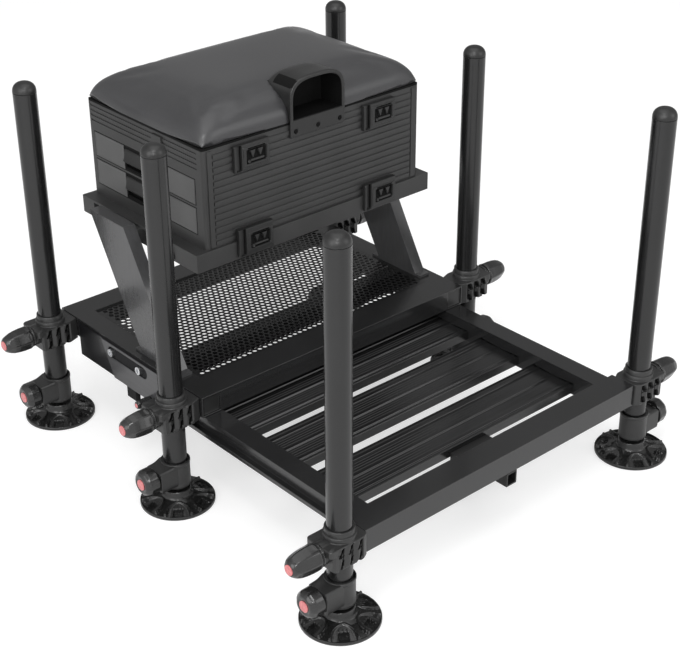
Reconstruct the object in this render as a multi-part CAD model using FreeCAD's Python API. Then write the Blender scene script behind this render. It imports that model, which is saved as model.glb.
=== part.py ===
import FreeCAD, Part
import os
import math

# Fishing seat box. Millimetres, +Z up, -Y towards the angler's feet, X across.
# The origin is the centre of the feet on the floor.

# Gaps
slideGap = 0.05
restGap = 0.3

# Deck, the frame that carries the seat
deckHalf = 272.8
deckInner = deckHalf - 35.8
deckFront = -6.2
deckRear = 379.8
deckTop = 176.3
deckLow = 141.9
meshThick = 2.0
meshFront = deckFront + 53.0
meshRear = deckRear - 45.0
railWall = 2.5
crossPlace = 61.5
crossWidth = 25.5

# Footplate, which slides under the deck
plateHalf = deckHalf - 4.3
plateInner = plateHalf - 33.5
plateFront = -372.2
plateRear = 100.0
plateTop = deckLow - restGap
plateLow = deckLow - 36.9
frontRailWidth = 44.0
frontRailHalf = deckHalf + 6.2
grooveDepth = 9.0
grooveLow = plateLow + 7.0
grooveTop = plateTop - 7.6
plankStarts = (-290.6, -174.2, -60.7)
plankWidth = 86.0
plankTop = plateLow + 20.0
plankLow = plateLow + 5.4
catchLeft = -1.0
catchRight = 20.0
catchFront = plateFront + 2.0
catchLow = plateLow - 25.0

# Legs and the rows that they stand in
legX = deckHalf + 36.6
legRadius = 18.0
legWall = 2.5
legFoot = 44.0
legTop = 565.0
capTop = legTop + 15.8
rowY = {"front": plateFront + 17.0, "middle": deckFront + 26.5, "rear": deckRear - 24.7}

# Feet
padRadius = 57.3
ballHeight = 22.0
ballRadius = 11.0
studRadius = 6.0
collarRadius = legRadius + 4.0
collarLow = ballHeight + ballRadius
collarTop = 75.0
lugEnd = legX + 39.6
lugHalf = 14.0
lugRadius = 17.0
footKnobHeight = 55.0
footKnobRadius = 20.0
footKnobTip = lugEnd + 25.5
hubRadius = 19.0
rimHeight = 5.0
pocketCount = 6
pocketTurn = -125.0

# Clamps on the rails
clampHeight = 36.6
clampOuter = legX + 36.6
clampFace = clampOuter - 6.0
clampHalf = legRadius + 8.0
clampLip = 15.5
clampDrop = 3.5
clampKnobTip = clampOuter + 52.0
clampKnobRise = 22.3
clampKnobRadius = 18.8
screwRadius = 5.0
clampBoss = 16.5
slotStart = legX - 18.4
slotStep = 16.0
slotWide = 4.0
slotTilt = 5.0

# Side plates, whose runners hold the footplate
sideFront = deckFront + 52.2
sideRear = deckRear - 54.8
sideLow = deckLow - 28.9
sideTop = deckTop - 4.3
sideThick = 2.5
facingThick = 2.5
facingRear = sideFront + 210.0
facingRake = 0.53
runnerRear = sideRear - 100.0
slotFront = sideFront + 84.0
slotRear = slotFront + 107.0
slotLow = deckLow + 6.1
slotTop = slotLow + 20.0
boltY = (slotFront + 21.0, slotRear - 10.0)
boltZ = (slotLow + slotTop) / 2
stopFront = sideFront + 120.0
stopRear = stopFront + 24.0
stopLow = sideLow - 18.0
lockY = sideFront + 78.5
lockZ = grooveLow + 5.0
lockRadius = 3.0
lockStart = deckHalf + sideThick + facingThick

# Arms and tray
armInner = deckInner + 3.0
armOuter = armInner + 21.0
armWall = 3.0
armDepth = 92.0
armFoot = deckFront + 78.0
armRake = 0.57
armTop = 383.0
trayHalf = armInner - 6.7
trayFront = deckFront + 48.0
trayRear = deckRear - 35.0
trayLow = armTop - 33.0
trayTop = armTop - 4.0

# Box
boxHalf = trayHalf - 21.3
boxFront = trayFront + 3.0
boxRear = trayRear - 5.0
boxTop = trayTop + 154.0
boxWall = 6.0
ribDepth = 1.6
ribPitch = 10.4
lockerFloor = boxTop - 43.0
drawerFront = boxFront + 21.0
drawerRear = boxRear - 13.0
drawerInner = boxHalf - 12.0
drawerWall = 2.5
drawerLevels = {"lower": (trayTop + 19.0, trayTop + 62.5), "upper": (trayTop + 65.5, trayTop + 107.5)}
latchFront = drawerFront + 80.2
latchRear = drawerRear - 82.8
flapRadius = 3.0
flapPinX = -boxHalf + 1.5

# Lid and cushion
lidThick = 3.0
cushionLow = boxTop + lidThick
gripHalf = 53.0
gripTop = cushionLow + 67.0
gripBase = cushionLow + 26.0
gripBend = 3.2
gripDeep = 64.0
hingeY = boxRear + 8.2
hingeX = boxHalf - 62.0
hingeRadius = 5.0
latchThick = 7.0
latchWidth = 65.0
leftLatchX = -boxHalf + 52.0
rightLatchX = boxHalf - 122.0


def block(x0, x1, y0, y1, z0, z1):
    return Part.makeBox(x1 - x0, y1 - y0, z1 - z0, FreeCAD.Vector(x0, y0, z0))


def rod(radius, start, end):
    start = FreeCAD.Vector(*start)
    along = FreeCAD.Vector(*end) - start
    return Part.makeCylinder(radius, along.Length, start, along)


def prism(points, push):
    corners = [FreeCAD.Vector(*p) for p in points]
    face = Part.Face(Part.makePolygon(corners + corners[:1]))
    return face.extrude(FreeCAD.Vector(*push))


def turned(points, centreX, centreY):
    # A profile of (radius, height) corners turned about an upright axis.
    corners = [FreeCAD.Vector(centreX + r, centreY, z) for r, z in points]
    face = Part.Face(Part.makePolygon(corners + corners[:1]))
    return face.revolve(FreeCAD.Vector(centreX, centreY, 0), FreeCAD.Vector(0, 0, 1), 360)


def mirrored(shape):
    return shape.mirror(FreeCAD.Vector(0, 0, 0), FreeCAD.Vector(1, 0, 0))


def roundedLoop(halfX, halfY, centreY, radius, z):
    # A closed wire: a rectangle with round corners, at height z.
    edges = []
    bend = radius * math.sqrt(0.5)
    for turn in range(4):
        sx = (1, -1, -1, 1)[turn]
        sy = (1, 1, -1, -1)[turn]
        cx = sx * (halfX - radius)
        cy = centreY + sy * (halfY - radius)
        first = FreeCAD.Vector(cx + sx * radius, cy, z)
        middle = FreeCAD.Vector(cx + sx * bend, cy + sy * bend, z)
        last = FreeCAD.Vector(cx, cy + sy * radius, z)
        if turn in (1, 3):
            first, last = last, first
        edges.append((first, middle, last))
    wires = []
    for index, (first, middle, last) in enumerate(edges):
        wires.append(Part.Arc(first, middle, last).toShape())
        following = edges[(index + 1) % 4][0]
        wires.append(Part.makeLine(last, following))
    return Part.Wire(wires)


def flutedGrip(stations, y, z, lobes, waist):
    # A knob's grip: a lobed outline carried along +X through stations of (x, radius).
    loops = []
    for x, r in stations:
        corners = []
        for step in range(3 * lobes):
            radius = r * (waist if step % 3 == 0 else 1.0)
            angle = 2 * math.pi * step / (3 * lobes)
            corners.append(FreeCAD.Vector(x, y + radius * math.cos(angle), z + radius * math.sin(angle)))
        loops.append(Part.makePolygon(corners + corners[:1]))
    return Part.makeLoft(loops, True, True)


def legTube(y):
    tube = rod(legRadius, (legX, y, legFoot), (legX, y, legTop))
    tube = tube.cut(rod(legRadius - legWall, (legX, y, legFoot), (legX, y, legTop)))
    dome = [(0, legTop), (legRadius, legTop), (legRadius, legTop + 4), (legRadius - 1.5, legTop + 8)]
    dome += [(legRadius - 5, legTop + 12), (legRadius - 11, capTop - 1), (0, capTop)]
    plug = legRadius - legWall
    cap = turned(dome, legX, y).fuse(rod(plug, (legX, y, legTop - 14), (legX, y, legTop)))
    return Part.makeCompound([tube, cap.removeSplitter()])


def footCollar(y):
    # A cup for the tube, with a lug for the knob on one side and a ball underneath.
    outline = [(0, collarLow), (15, collarLow), (19, collarLow + 3), (collarRadius, collarLow + 8),
               (collarRadius, collarTop), (0, collarTop)]
    z = footKnobHeight
    lug = rod(lugRadius, (legX, y, z), (lugEnd, y, z))
    slope = [(legX, z), (legX, collarTop - 1), (legX + collarRadius - 4, collarTop - 1),
             (lugEnd, z + lugRadius - 2), (lugEnd, z)]
    top = prism([(x, y - lugHalf, height) for x, height in slope], (0, 2 * lugHalf, 0))
    stud = rod(studRadius, (legX, y, ballHeight), (legX, y, collarLow))
    ball = Part.makeSphere(ballRadius, FreeCAD.Vector(legX, y, ballHeight))
    solid = turned(outline, legX, y).fuse([lug, top, stud, ball])
    bore = rod(legRadius, (legX, y, legFoot), (legX, y, collarTop))
    bore = bore.fuse(rod(legRadius + 2, (legX, y, collarTop - 5), (legX, y, collarTop)))
    thread = rod(screwRadius + slideGap, (legX, y, z), (lugEnd, y, z))
    return solid.cut([bore, thread]).removeSplitter()


def footKnob(y):
    z = footKnobHeight
    start = lugEnd + restGap
    face = footKnobTip - 1.5
    r = footKnobRadius
    grip = flutedGrip([(start, r), (face - 4, r), (face, r - 4.5)], y, z, 7, 0.93)
    badge = rod(11, (face, y, z), (footKnobTip, y, z))
    screw = rod(screwRadius, (legX + legRadius + restGap, y, z), (start, y, z))
    return grip.fuse([badge, screw]).removeSplitter()


def pocketShape(inset, low, high):
    # An arch that opens towards the rim, drawn along +X and pushed up.
    half = [(54.5, 22), (46, 20.5), (37, 17), (29, 10.5), (24, 0)]
    across = [(r + inset if r < 50 else r, w - inset * w / 22) for r, w in half]
    outline = across + [(r, -w) for r, w in reversed(across[:-1])]
    return prism([(r, w, low) for r, w in outline], (0, 0, high - low))


def footPad(x, y):
    # A coned disc with a ball socket and six arched pockets, each with a square hole.
    socketTop = ballHeight + 5
    cone = [(0, 0), (padRadius, 0), (padRadius, rimHeight), (54.5, rimHeight), (30, 9), (24, 13)]
    cone += [(hubRadius, socketTop), (0, socketTop)]
    roof = turned([(0, 14), (22, 14), (padRadius, 9), (padRadius, 0), (0, 0)], 0, 0)
    floor = turned([(0, 8), (30, 8), (padRadius, 3.5), (padRadius, 0), (0, 0)], 0, 0)
    ridge = pocketShape(0, 1, 20).common(roof)
    hollow = pocketShape(5, 1, 20).cut(floor)
    hole = block(38, 51, -7, 7, -1, 20)
    solid = turned(cone, 0, 0)
    for shape, keep in ((ridge, True), (hollow, False), (hole, False)):
        copies = []
        for step in range(pocketCount):
            one = shape.copy()
            turn = pocketTurn + 360 / pocketCount * step
            one.rotate(FreeCAD.Vector(0, 0, 0), FreeCAD.Vector(0, 0, 1), turn)
            copies.append(one)
        solid = solid.fuse(copies) if keep else solid.cut(copies)
    solid = solid.cut(Part.makeSphere(ballRadius + slideGap, FreeCAD.Vector(0, 0, ballHeight)))
    solid = solid.removeSplitter()
    solid.translate(FreeCAD.Vector(x, y, 0))
    return solid


def legClamp(y, low, railFace):
    # A block with slotted sides round the tube, a stepped collar on top and a round boss for the knob.
    top = low + clampHeight
    knobZ = low + clampKnobRise
    corners = [(railFace, clampHalf - 6), (legX - 19, clampHalf), (clampFace - 9, clampHalf),
               (clampFace, clampHalf - 9)]
    corners += [(x, -half) for x, half in reversed(corners)]
    body = prism([(x, y + half, low) for x, half in corners], (0, 0, clampHeight))
    boss = rod(clampBoss, (legX, y, knobZ), (clampOuter, y, knobZ))
    lower = rod(legRadius + 6.5, (legX, y, top), (legX, y, top + clampLip - 8))
    upper = rod(legRadius + 4, (legX, y, top), (legX, y, top + clampLip))
    solid = body.fuse([boss, lower, upper])
    cuts = [rod(legRadius + slideGap, (legX, y, low - 1), (legX, y, top + clampLip + 1))]
    cuts.append(rod(screwRadius + slideGap, (legX, y, knobZ), (clampOuter, y, knobZ)))
    for step in range(3):
        x = slotStart + slotStep * step
        for side in (-1, 1):
            face = y + side * (clampHalf - 4)
            for z0, z1 in ((low + 5, low + 14), (top - 15, top - 4)):
                slot = [(x + slotTilt, z0), (x + slotTilt + slotWide, z0), (x + slotWide, z1), (x, z1)]
                cuts.append(prism([(u, face, v) for u, v in slot], (0, side * 6, 0)))
    return solid.cut(cuts).removeSplitter()


def clampKnob(y, low):
    z = low + clampKnobRise
    start = clampOuter + restGap
    face = clampKnobTip - 1.5
    r = clampKnobRadius
    neck = rod(r - 1.5, (start, y, z), (start + 4, y, z))
    stations = [(start + 4, r - 0.5), (face - 12.5, r), (face - 4.5, r - 3), (face, r - 7.5)]
    grip = flutedGrip(stations, y, z, 8, 0.94)
    badge = rod(8.8, (face, y, z), (clampKnobTip, y, z))
    screw = rod(screwRadius, (legX + legRadius + restGap, y, z), (start, y, z))
    return grip.fuse([neck, badge, screw]).removeSplitter()


def deckFrame():
    pieces = []
    for side in (-1, 1):
        x0, x1 = sorted((side * deckInner, side * deckHalf))
        rail = block(x0, x1, deckFront, deckRear, deckLow, deckTop)
        hollow = block(x0 + railWall, x1 - railWall, deckFront - 1, deckRear + 1,
                       deckLow + railWall, deckTop - railWall)
        pieces.append(rail.cut(hollow))
    middle = meshFront + crossPlace
    for y0, y1, top in ((deckFront, meshFront, deckTop), (middle, middle + crossWidth, deckTop - meshThick),
                        (meshRear, deckRear, deckTop)):
        beam = block(-deckInner, deckInner, y0, y1, deckLow, top)
        beam = beam.cut(block(-deckInner, deckInner, y0 + railWall, y1 - railWall,
                              deckLow - 1, top - railWall))
        pieces.append(beam)
    solid = pieces[0].fuse(pieces[1:])
    return solid.removeSplitter()


def deckMesh():
    low = deckTop - meshThick
    face = Part.Face(Part.makePolygon([FreeCAD.Vector(x, y, low) for x, y in (
        (-deckInner, meshFront), (deckInner, meshFront), (deckInner, meshRear), (-deckInner, meshRear),
        (-deckInner, meshFront))]))
    holes = []
    rows = 10
    columns = 16
    pitchX = 2 * (deckInner - 12) / columns
    pitchY = (meshRear - meshFront - 16) / rows
    for row in range(rows):
        shift = 0.25 if row % 2 else -0.25
        for column in range(columns):
            cx = -deckInner + 12 + (column + 0.5 + shift) * pitchX
            cy = meshFront + 8 + (row + 0.5) * pitchY
            corners = []
            for step in range(6):
                angle = math.pi * (step + 0.5) / 3
                corners.append(FreeCAD.Vector(cx + 9 * math.cos(angle), cy + 9 * math.sin(angle), low))
            holes.append(Part.Face(Part.makePolygon(corners + corners[:1])))
    face = face.cut(holes)
    return face.extrude(FreeCAD.Vector(0, 0, meshThick))


def sidePlate():
    # A guide rail whose runner holds the footplate, a raked facing with a slot, and a stop under it.
    inner = deckHalf
    outer = deckHalf + sideThick
    runner = plateHalf - grooveDepth + restGap
    gap = plateHalf + restGap
    low = grooveLow + restGap
    high = grooveTop - restGap
    profile = [(inner, sideTop), (outer, sideTop), (outer, sideLow), (gap, sideLow), (gap, low + 2),
               (runner, low + 2), (runner, high), (gap, high), (gap, deckLow - restGap),
               (inner, deckLow - restGap)]
    solid = prism([(x, sideFront, z) for x, z in profile], (0, sideRear - sideFront, 0))
    lowRear = facingRear - facingRake * (sideTop - sideLow)
    facing = [(sideFront, sideTop), (facingRear, sideTop), (lowRear, sideLow), (sideFront, sideLow)]
    solid = solid.fuse(prism([(outer, y, z) for y, z in facing], (facingThick, 0, 0)))
    solid = solid.fuse(block(gap + 0.7, outer + facingThick, stopFront, stopRear, stopLow, sideLow + 1))
    # The runner ends where the footplate's own rail ends, and behind it the rail is a plain plate.
    solid = solid.cut(block(runner - 1, inner, runnerRear, sideRear + 1, sideLow - 1, deckLow))
    middle = (slotLow + slotTop) / 2
    radius = (slotTop - slotLow) / 2
    slot = block(outer, outer + facingThick + 1, slotFront + radius, slotRear - radius, slotLow, slotTop)
    for y in (slotFront + radius, slotRear - radius):
        slot = slot.fuse(rod(radius, (outer, y, middle), (outer + facingThick + 1, y, middle)))
    return solid.cut(slot).removeSplitter()


def lockKnob():
    # A small thumbscrew through the left guide rail, which presses on the footplate's rail.
    start = lockStart + restGap
    stations = [(start, 6.5), (start + 3, 7.5), (start + 22, 7.5), (start + 25.5, 6)]
    grip = flutedGrip(stations, lockY, lockZ, 6, 0.92)
    badge = rod(4.5, (start + 25.5, lockY, lockZ), (start + 26.6, lockY, lockZ))
    screw = rod(lockRadius, (plateHalf - grooveDepth + 3 * restGap, lockY, lockZ), (start, lockY, lockZ))
    return mirrored(grip.fuse([badge, screw]).removeSplitter())


def sideBolts():
    bolts = []
    for side in (-1, 1):
        for y in boltY:
            x0 = side * (deckHalf + sideThick)
            head = rod(6.5, (x0, y, boltZ), (x0 + side * 6, y, boltZ))
            socket = rod(3.2, (x0 + side * 3, y, boltZ), (x0 + side * 7, y, boltZ))
            bolts.append(head.cut(socket))
    return Part.makeCompound(bolts)


def seatArm():
    def at(z):
        return armFoot + (z - deckTop) * armRake
    outline = [(armInner, at(deckTop), deckTop), (armInner, at(armTop), armTop),
               (armInner, at(armTop) + armDepth, armTop), (armInner, at(deckTop) + armDepth, deckTop)]
    solid = prism(outline, (armOuter - armInner, 0, 0))
    wall = armWall * math.hypot(1, armRake)
    low = deckTop - 5
    high = armTop - 6
    depth = armDepth - wall
    core = [(at(low) + wall, low), (at(high) + wall, high), (at(high) + depth, high), (at(low) + depth, low)]
    inside = armInner + armWall
    solid = solid.cut(prism([(inside, y, z) for y, z in core], (armOuter - armInner - 2 * armWall, 0, 0)))
    foot = block(armInner, armOuter, armFoot - 10, armFoot + armDepth + 18, deckTop, deckTop + 4)
    opening = block(inside, armOuter - armWall, armFoot + 6, armFoot + armDepth - 8, deckTop - 1, deckTop + 5)
    return solid.fuse(foot.cut(opening)).removeSplitter()


def baseTray():
    solid = block(-trayHalf, trayHalf, trayFront, trayRear, trayLow, trayTop)
    cuts = [block(-trayHalf + 30, trayHalf - 30, trayFront + 6, trayRear - 6, trayLow - 1, trayTop - 4)]
    for side in (-1, 1):
        x0, x1 = sorted((side * (trayHalf - 8), side * (trayHalf + 1)))
        cuts.append(block(x0, x1, trayFront + 55, trayRear - 32, trayLow + 4, trayTop - 4))
    solid = solid.cut(cuts)
    for side in (-1, 1):
        x0, x1 = sorted((side * (trayHalf - 12), side * armInner))
        solid = solid.fuse(block(x0, x1, trayFront + 142, trayRear - 93, trayLow + 4, trayTop - 4))
    return solid.removeSplitter()


def boxShell():
    face = boxFront + ribDepth
    centre = (face + boxRear) / 2
    outline = Part.Face(roundedLoop(boxHalf, (boxRear - face) / 2, centre, 5, trayTop))
    solid = outline.extrude(FreeCAD.Vector(0, 0, boxTop - trayTop))
    ribs = []
    count = int((boxTop - trayTop - 8) / ribPitch)
    for step in range(count):
        z = trayTop + 4 + ribPitch * step
        ribs.append(block(-boxHalf + 18, boxHalf - 18, boxFront, face, z, z + 6))
    for side in (-1, 1):
        x0, x1 = sorted((side * (boxHalf - 16), side * (boxHalf - 8)))
        ribs.append(block(x0, x1, boxFront, face, trayTop + 2, boxTop - 2))
    solid = solid.fuse(ribs)
    cuts = [block(-boxHalf + boxWall, boxHalf - boxWall, face + boxWall, boxRear - boxWall,
                  lockerFloor, boxTop + 1)]
    for low, high in drawerLevels.values():
        cuts.append(block(-boxHalf - 1, drawerInner + 3, drawerFront - restGap, drawerRear + restGap,
                          low, high))
    cuts.append(block(-boxHalf + boxWall, drawerInner + 3, face + boxWall, boxRear - boxWall,
                      trayTop - 1, drawerLevels["lower"][0] - 4))
    for step in range(4):
        z = boxTop - 31 + 8 * step
        cuts.append(block(-boxHalf - 1, -boxHalf + 1.2, boxFront + 15, boxRear - 8, z, z + 3))
        cuts.append(block(boxHalf - 1.2, boxHalf + 1, boxFront + 15, boxRear - 8, z, z + 3))
    solid = solid.cut(cuts)
    for x in (-hingeX, hingeX):
        knuckle = rod(hingeRadius, (x - 25, hingeY, boxTop), (x + 25, hingeY, boxTop))
        leaf = block(x - 25, x + 25, boxRear - 1, hingeY, boxTop - 22, boxTop - 2)
        solid = solid.fuse([leaf.fuse(knuckle)])
    pad = block(-boxHalf - 3, -boxHalf + 2, boxFront + 98, boxFront + 122, boxTop - 25, boxTop - 5)
    return solid.fuse(pad).removeSplitter()


def drawer(level):
    low, high = drawerLevels[level]
    low += restGap
    high -= restGap
    solid = block(-boxHalf, drawerInner, drawerFront, drawerRear, low, high)
    inner = block(-boxHalf + 9, drawerInner - drawerWall, drawerFront + drawerWall, drawerRear - drawerWall,
                  low + drawerWall, high + 1)
    solid = solid.cut(inner)
    # A recess in the front panel holds the latch flap.
    recess = block(-boxHalf - 1, -boxHalf + 6, latchFront, latchRear, low + 6, high - 5)
    frame = block(-boxHalf - 1, -boxHalf + 1, drawerFront + 4, drawerRear - 4, low + 4, high - 4)
    lips = block(-boxHalf - 2, -boxHalf + 1.5, drawerFront + 7, drawerRear - 7, low + 6.5, high - 6.5)
    return solid.cut(frame.cut(lips)).cut(recess).removeSplitter()


def drawerFlap(level):
    # The flap swings on its round upper end.
    low, high = drawerLevels[level]
    y0 = latchFront + restGap
    y1 = latchRear - restGap
    pinZ = high - restGap - 5 - restGap - flapRadius
    blade = [(-boxHalf - 1.5, pinZ), (-boxHalf + 2.5, pinZ), (-boxHalf + 0.5, pinZ - 14),
             (-boxHalf - 2.5, pinZ - 19), (-boxHalf - 5, pinZ - 16), (-boxHalf - 2.8, pinZ - 9)]
    flap = prism([(x, y0, z) for x, z in blade], (0, y1 - y0, 0))
    return flap.fuse(rod(flapRadius, (flapPinX, y0, pinZ), (flapPinX, y1, pinZ))).removeSplitter()


def lidPanel():
    face = boxFront + ribDepth
    depth = (boxRear - face) / 2
    outline = Part.Face(roundedLoop(boxHalf, depth, (face + boxRear) / 2, 5, boxTop + restGap))
    solid = outline.extrude(FreeCAD.Vector(0, 0, lidThick - restGap))
    rims = block(-boxHalf + boxWall + 1, boxHalf - boxWall - 1, face + boxWall + 1, face + boxWall + 4,
                 boxTop - 5, boxTop + 1)
    solid = solid.fuse(rims)
    for x in (-hingeX, hingeX):
        for side in (-1, 1):
            x0, x1 = sorted((x + side * (25 + restGap), x + side * 38))
            knuckle = rod(hingeRadius, (x0, hingeY, boxTop), (x1, hingeY, boxTop))
            leaf = block(x0, x1, boxRear - 6, hingeY, boxTop + 0.6, boxTop + lidThick)
            solid = solid.fuse(knuckle.fuse(leaf))
    return solid.removeSplitter()


def cushion():
    face = boxFront + ribDepth
    centre = (face + boxRear) / 2
    depth = (boxRear - face) / 2
    loops = []
    crown = [(1.5, 0, 9), (0.2, 8, 11), (1.5, 17, 16), (5, 25.5, 24), (11, 32, 32)]
    crown += [(20, 39, 42), (32, 43.5, 50), (48, 47, 56), (75, 49.3, 60)]
    for inset, rise, corner in crown:
        loops.append(roundedLoop(boxHalf - inset, depth - inset, centre, corner, cushionLow + rise))
    return Part.makeLoft(loops, True, True).cut(gripHood(restGap))


def archPoints(half, base, top, bend):
    # An arch from right to left: upright sides that bend into a nearly flat top.
    points = [(half, cushionLow)]
    for step in range(9):
        angle = math.pi * step / 8
        side = math.cos(angle)
        x = half * math.copysign(abs(side) ** (2 / bend), side)
        points.append((x, base + (top - base) * abs(math.sin(angle)) ** (2 / bend)))
    points.append((-half, cushionLow))
    return points


def gripHood(spread):
    # The hood's outside: an arch that falls away at the rear.
    top = gripTop + spread
    front = boxFront - 4
    rear = front + gripDeep + spread
    arch = prism([(x, front, z) for x, z in archPoints(gripHalf + spread, gripBase, top, gripBend)],
                 (0, gripDeep + spread, 0))
    fall = [(rear - 22, top + 1), (rear + 1, top + 1), (rear + 1, top - 12)]
    return arch.cut(prism([(-2 * gripHalf, y, z) for y, z in fall], (4 * gripHalf, 0, 0)))


def lidGrip():
    front = boxFront - 4
    flange = block(-gripHalf, gripHalf, front, boxFront - restGap, boxTop - 20, cushionLow + 2)
    floor = cushionLow + 3
    mouth = [(x, max(z, floor)) for x, z in archPoints(gripHalf - 6, gripBase, gripTop - 5, gripBend)]
    mouth = prism([(x, front - 1, z) for x, z in mouth], (0, gripDeep - 16, 0))
    solid = flange.fuse(gripHood(0)).cut(mouth)
    across = gripHalf - 10
    screws = [rod(3, (x, front - 1, boxTop - 11), (x, front + 1, boxTop - 11)) for x in (-across, 0, across)]
    return solid.cut(screws).removeSplitter()


def frontLatch(x0, low, high, face):
    # A flat lever that swings on its round lower end.
    x1 = x0 + latchWidth
    back = face - restGap
    half = latchThick / 2
    body = block(x0, x1, back - latchThick, back, low + half, high)
    upper = [e for e in body.Edges if e.BoundBox.YLength > half and e.BoundBox.ZMin > high - 1]
    body = body.makeFillet(4, upper)
    step = block(x0 + 3, x0 + 14, back - latchThick - 1, back - 4, low + 6, high - 5)
    pocket = block(x0 + 26, x1 - 8, back - latchThick - 1, back - 5.5, low + 6, low + 14)
    nose = rod(half, (x0 + 16, back - 6, high - 6), (x1 - 4, back - 6, high - 6))
    pin = rod(half, (x0, back - half, low + half), (x1, back - half, low + half))
    return body.cut([step, pocket]).fuse([nose, pin]).removeSplitter()


def footplateFrame():
    pieces = []
    width = frontRailWidth
    for side in (-1, 1):
        x0, x1 = sorted((side * plateInner, side * plateHalf))
        rail = block(x0, x1, plateFront + width, plateRear, plateLow, plateTop)
        groove = sorted((side * (plateHalf - grooveDepth), side * (plateHalf + 1)))
        rail = rail.cut(block(groove[0], groove[1], plateFront + 60, plateRear + 1, grooveLow, grooveTop))
        inner = sorted((side * (plateInner + railWall), side * (plateHalf - grooveDepth - railWall)))
        rail = rail.cut(block(inner[0], inner[1], plateFront + 46, plateRear + 1,
                              plateLow + railWall, plateTop - railWall))
        pieces.append(rail)
    for y0, half in ((plateFront, frontRailHalf), (plateRear - frontRailWidth, plateInner)):
        beam = block(-half, half, y0, y0 + width, plateLow, plateTop)
        beam = beam.cut(block(-plateInner, plateInner, y0 + 3, y0 + width - 3, plateLow - 1, plateTop - 3))
        pieces.append(beam)
    return pieces[0].fuse(pieces[1:]).removeSplitter()


def planks():
    solids = []
    for start in plankStarts:
        top = []
        count = 8
        pitch = plankWidth / count
        for step in range(count):
            rise = 2.2 if step % 3 == 1 else 1.0
            y = start + step * pitch
            ground = plankTop - 2.2
            top += [(y + 2.0, ground), (y + 3.4, ground + rise), (y + pitch - 3.4, ground + rise),
                    (y + pitch - 2.0, ground)]
        end = start + plankWidth
        outline = [(start, plankLow), (start, ground)] + top + [(end, ground), (end, plankLow)]
        outline += [(end - 3, plankLow), (end - 3, plankTop - 6)]
        outline += [(start + 3, plankTop - 6), (start + 3, plankLow)]
        solids.append(prism([(-plateInner, y, z) for y, z in outline], (2 * plateInner, 0, 0)))
    return Part.makeCompound(solids)


def centreCatch():
    # A tongue between the front rail and the first plank, and a small open bracket under the rail.
    rail = plateFront + frontRailWidth
    tongue = block(-38, 38, rail, plankStarts[0], plateLow, plateLow + 12)
    strap = block(catchLeft, catchRight, plateFront + 3.5, rail + 8, plateLow - 2.5, plateLow)
    bracket = block(catchLeft, catchRight, catchFront, catchFront + 28, catchLow, plateLow - 2.5)
    hollow = block(catchLeft + 2.5, catchRight - 2.5, catchFront - 1, catchFront + 25.5,
                   catchLow + 2.5, plateLow - 5)
    return tongue.fuse([strap, bracket.cut(hollow)]).removeSplitter()


nodes = {}
for row, y in rowY.items():
    low, railFace = (plateLow, frontRailHalf) if row == "front" else (deckLow - clampDrop, deckHalf)
    nodes["right_" + row + "_foot_pad"] = footPad(legX, y)
    nodes["left_" + row + "_foot_pad"] = footPad(-legX, y)
    shapes = {"leg": legTube(y), "foot_collar": footCollar(y), "foot_knob": footKnob(y),
              "leg_clamp": legClamp(y, low, railFace), "clamp_knob": clampKnob(y, low)}
    for name, shape in shapes.items():
        nodes["right_" + row + "_" + name] = shape
        nodes["left_" + row + "_" + name] = mirrored(shape)

nodes["deck_frame"] = deckFrame()
nodes["deck_mesh"] = deckMesh()
nodes["right_side_plate"] = sidePlate()
thread = rod(lockRadius + slideGap, (plateHalf - grooveDepth, lockY, lockZ), (lockStart + 1, lockY, lockZ))
nodes["left_side_plate"] = mirrored(nodes["right_side_plate"].cut(thread))
nodes["left_footplate_lock_knob"] = lockKnob()
nodes["side_plate_bolts"] = sideBolts()
nodes["right_seat_arm"] = seatArm()
nodes["left_seat_arm"] = mirrored(nodes["right_seat_arm"])
nodes["base_tray"] = baseTray()
nodes["box_shell"] = boxShell()
for level in drawerLevels:
    nodes[level + "_drawer"] = drawer(level)
    nodes[level + "_drawer_latch"] = drawerFlap(level)
nodes["lid_panel"] = lidPanel()
nodes["seat_cushion"] = cushion()
nodes["lid_grip"] = lidGrip()
for side, x in (("left", leftLatchX), ("right", rightLatchX)):
    nodes[side + "_lid_latch"] = frontLatch(x, boxTop - 45, boxTop - 5, boxFront)
    nodes[side + "_tray_latch"] = frontLatch(x, trayLow + 5, trayTop + 19, trayFront)
nodes["footplate_frame"] = footplateFrame()
nodes["footplate_planks"] = planks()
nodes["footplate_catch"] = centreCatch()

os.makedirs("parts", exist_ok=True)
for name, shape in nodes.items():
    shape.exportStep("parts/" + name + ".step")
    print(name, "solids", len(shape.Solids), "valid", shape.isValid(), "cm3", round(shape.Volume / 1000, 1))
print(len(nodes), "nodes")
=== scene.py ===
import math

import bmesh
import bpy
import numpy as np
from mathutils import Matrix, Vector
from mathutils.kdtree import KDTree


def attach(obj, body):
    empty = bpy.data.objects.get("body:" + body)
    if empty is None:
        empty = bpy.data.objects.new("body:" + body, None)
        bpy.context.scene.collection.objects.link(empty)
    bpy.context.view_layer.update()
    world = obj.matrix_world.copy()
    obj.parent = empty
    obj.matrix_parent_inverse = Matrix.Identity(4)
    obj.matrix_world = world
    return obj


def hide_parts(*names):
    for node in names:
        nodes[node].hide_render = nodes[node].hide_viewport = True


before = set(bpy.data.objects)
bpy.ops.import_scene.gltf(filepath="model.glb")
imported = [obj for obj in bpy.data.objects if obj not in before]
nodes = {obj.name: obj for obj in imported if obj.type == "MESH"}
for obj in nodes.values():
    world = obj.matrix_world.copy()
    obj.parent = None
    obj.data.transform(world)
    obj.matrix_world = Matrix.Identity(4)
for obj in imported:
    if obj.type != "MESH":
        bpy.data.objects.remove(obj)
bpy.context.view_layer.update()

mm = 0.001
rowPlaces = {"front": -355.2, "middle": 20.3, "rear": 355.1}
sidePlaces = {"left": -1, "right": 1}
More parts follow.
